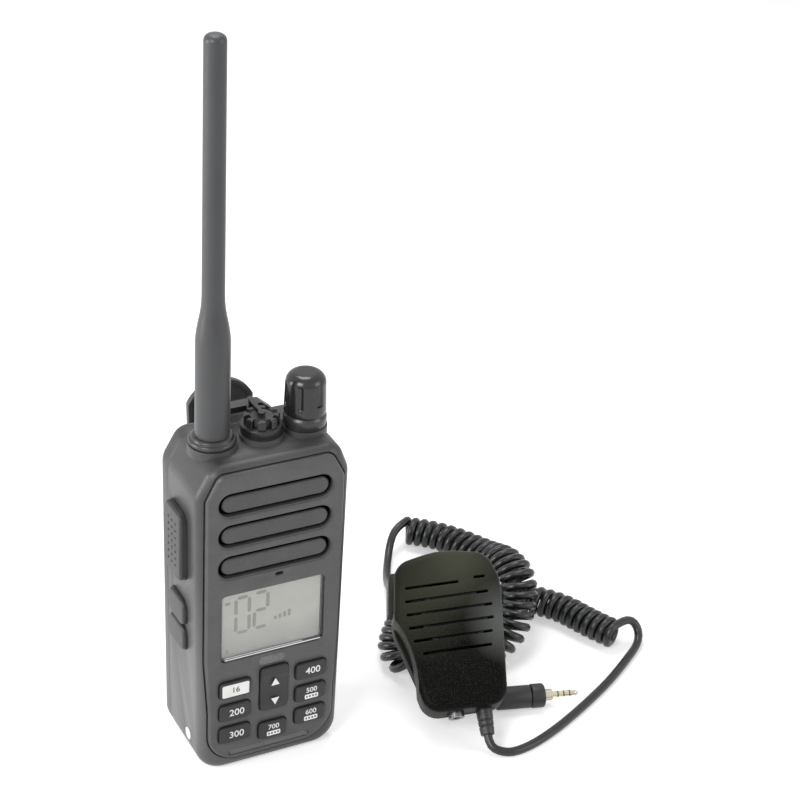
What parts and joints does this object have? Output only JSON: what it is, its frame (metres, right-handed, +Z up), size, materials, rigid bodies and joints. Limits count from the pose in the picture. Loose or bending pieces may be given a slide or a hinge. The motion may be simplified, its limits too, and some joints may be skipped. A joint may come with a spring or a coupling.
{
  "type": "handheld vhf marine radio",
  "caption": "Handheld marine two-way radio with whip antenna, keypad and belt clip, standing beside its corded speaker microphone.",
  "frame": {"origin": "middle of the flat base of the radio", "axes": "+X to the radio's right as its keys are read, +Y to its back, +Z up"},
  "size_m": [0.2224, 0.1716, 0.3104],
  "materials": {
    "aerial": "matt grey rubber",
    "case": "dark grey satin plastic with a fine grain",
    "cast": "cast aluminium",
    "cell": "battery cell sleeve",
    "circuit": "green board",
    "cloth": "black acoustic cloth",
    "cone": "black loudspeaker cone",
    "cord": "black cord jacket",
    "display": "grey-green reflective display",
    "gold": "pale gold plating",
    "grille": "dark grey satin plastic",
    "keycap": "black silicone rubber",
    "lens": "clear window",
    "micshell": "coarse-grained black plastic",
    "panel": "near-black satin plastic",
    "softkey": "dark grey rubber",
    "steel": "steel"
  },
  "bodies": {
    "radio": {"antenna": "aerial", "antenna_connector": "gold", "antenna_ring": "case", "battery_cells": "cell", "battery_contacts": "gold", "battery_pack": "case", "cap_tether": "softkey", "case_gasket": "softkey", "case_screws": "steel", "charge_contact": "steel", "chassis": "cast", "clip_base": "grille", "clip_pin": "steel", "clip_spring": "steel", "display_module": "display", "front_housing": "case", "front_panel": "panel", "grille_insert": "grille", "jack_socket": "steel", "key_mat": "keycap", "knob_ring": "case", "main_board": "circuit", "rear_housing": "case", "side_switches": "circuit", "speaker": "cone", "speaker_membrane": "cloth", "volume_encoder": "steel", "window_lens": "lens"},
    "key_left_1": {"key_left_1": "keycap"},
    "key_left_2": {"key_left_2": "keycap"},
    "key_left_3": {"key_left_3": "keycap"},
    "key_low": {"key_low": "keycap"},
    "key_right_1": {"key_right_1": "keycap"},
    "key_right_2": {"key_right_2": "keycap"},
    "key_right_3": {"key_right_3": "keycap"},
    "channel_rocker": {"channel_rocker": "keycap"},
    "ptt_button": {"ptt_button": "softkey"},
    "side_key_lower": {"side_key_lower": "softkey"},
    "side_key_upper": {"side_key_upper": "softkey"},
    "volume_knob": {"volume_knob": "grille"},
    "jack_cap": {"jack_cap": "softkey"},
    "battery_latch": {"battery_latch": "grille"},
    "clip_lever": {"clip_lever": "grille"},
    "microphone": {"mic_front_cover": "micshell", "mic_rear_cover": "micshell", "mic_speaker": "cone", "mic_board": "circuit", "mic_earphone_jack": "steel", "mic_clip_base": "micshell", "mic_clip_pin": "steel", "mic_screws": "steel", "strain_relief": "cord", "cord_lead": "cord", "cord_coil": "cord", "cord_tail": "cord", "plug_body": "cord", "plug_pin": "gold"},
    "mic_ptt": {"mic_ptt": "softkey"},
    "mic_clip_lever": {"mic_clip_lever": "micshell"},
    "plug_collar": {"plug_collar": "cord"}
  },
  "joints": [
    {"name": "key_left_1_press", "type": "slide", "parent": "radio", "child": "key_left_1", "axis": [0, 1, 0], "range_m": [0, 0.0006]},
    {"name": "key_left_2_press", "type": "slide", "parent": "radio", "child": "key_left_2", "axis": [0, 1, 0], "range_m": [0, 0.0006]},
    {"name": "key_left_3_press", "type": "slide", "parent": "radio", "child": "key_left_3", "axis": [0, 1, 0], "range_m": [0, 0.0006]},
    {"name": "key_low_press", "type": "slide", "parent": "radio", "child": "key_low", "axis": [0, 1, 0], "range_m": [0, 0.0006]},
    {"name": "key_right_1_press", "type": "slide", "parent": "radio", "child": "key_right_1", "axis": [0, 1, 0], "range_m": [0, 0.0006]},
    {"name": "key_right_2_press", "type": "slide", "parent": "radio", "child": "key_right_2", "axis": [0, 1, 0], "range_m": [0, 0.0006]},
    {"name": "key_right_3_press", "type": "slide", "parent": "radio", "child": "key_right_3", "axis": [0, 1, 0], "range_m": [0, 0.0006]},
    {"name": "channel_rocker_tilt", "type": "hinge", "parent": "radio", "child": "channel_rocker", "pos_m": [0.0006, -0.0165, 0.0371], "axis": [1, 0, 0], "range_deg": [-2.5, 2.5]},
    {"name": "ptt_press", "type": "slide", "parent": "radio", "child": "ptt_button", "axis": [1, 0, 0], "range_m": [0, 0.0007]},
    {"name": "side_key_lower_press", "type": "slide", "parent": "radio", "child": "side_key_lower", "axis": [1, 0, 0], "range_m": [0, 0.0007]},
    {"name": "side_key_upper_press", "type": "slide", "parent": "radio", "child": "side_key_upper", "axis": [1, 0, 0], "range_m": [0, 0.0007]},
    {"name": "volume_turn", "type": "hinge", "parent": "radio", "child": "volume_knob", "pos_m": [0.0198, -0.001, 0.15], "axis": [0, 0, -1], "range_deg": [0, 290]},
    {"name": "jack_cap_unscrew", "type": "hinge", "parent": "radio", "child": "jack_cap", "pos_m": [0.0015, -0.001, 0.148], "axis": [0, 0, 1], "range_deg": [0, 270]},
    {"name": "battery_latch_slide", "type": "slide", "parent": "radio", "child": "battery_latch", "axis": [0, 0, 1], "range_m": [0, 0.003]},
    {"name": "clip_open", "type": "hinge", "parent": "radio", "child": "clip_lever", "pos_m": [0, 0.0295, 0.126], "axis": [1, 0, 0], "range_deg": [0, 12]},
    {"name": "mic_lift", "type": "slide", "parent": "radio", "child": "microphone", "axis": [0, 0, 1], "range_m": [0, 0.06]},
    {"name": "mic_ptt_press", "type": "slide", "parent": "microphone", "child": "mic_ptt", "axis": [0.9578, -0.2743, 0.0857], "range_m": [0, 0.0008]},
    {"name": "mic_clip_open", "type": "hinge", "parent": "microphone", "child": "mic_clip_lever", "pos_m": [0.09186, 0.00391, 0.02215], "axis": [-0.9578, 0.2743, -0.0857], "range_deg": [0, 10]},
    {"name": "plug_collar_turn", "type": "hinge", "parent": "microphone", "child": "plug_collar", "pos_m": [0.09048, -0.02396, 0.00525], "axis": [0.9641, -0.2656, 0], "continuous": true}
  ]
}
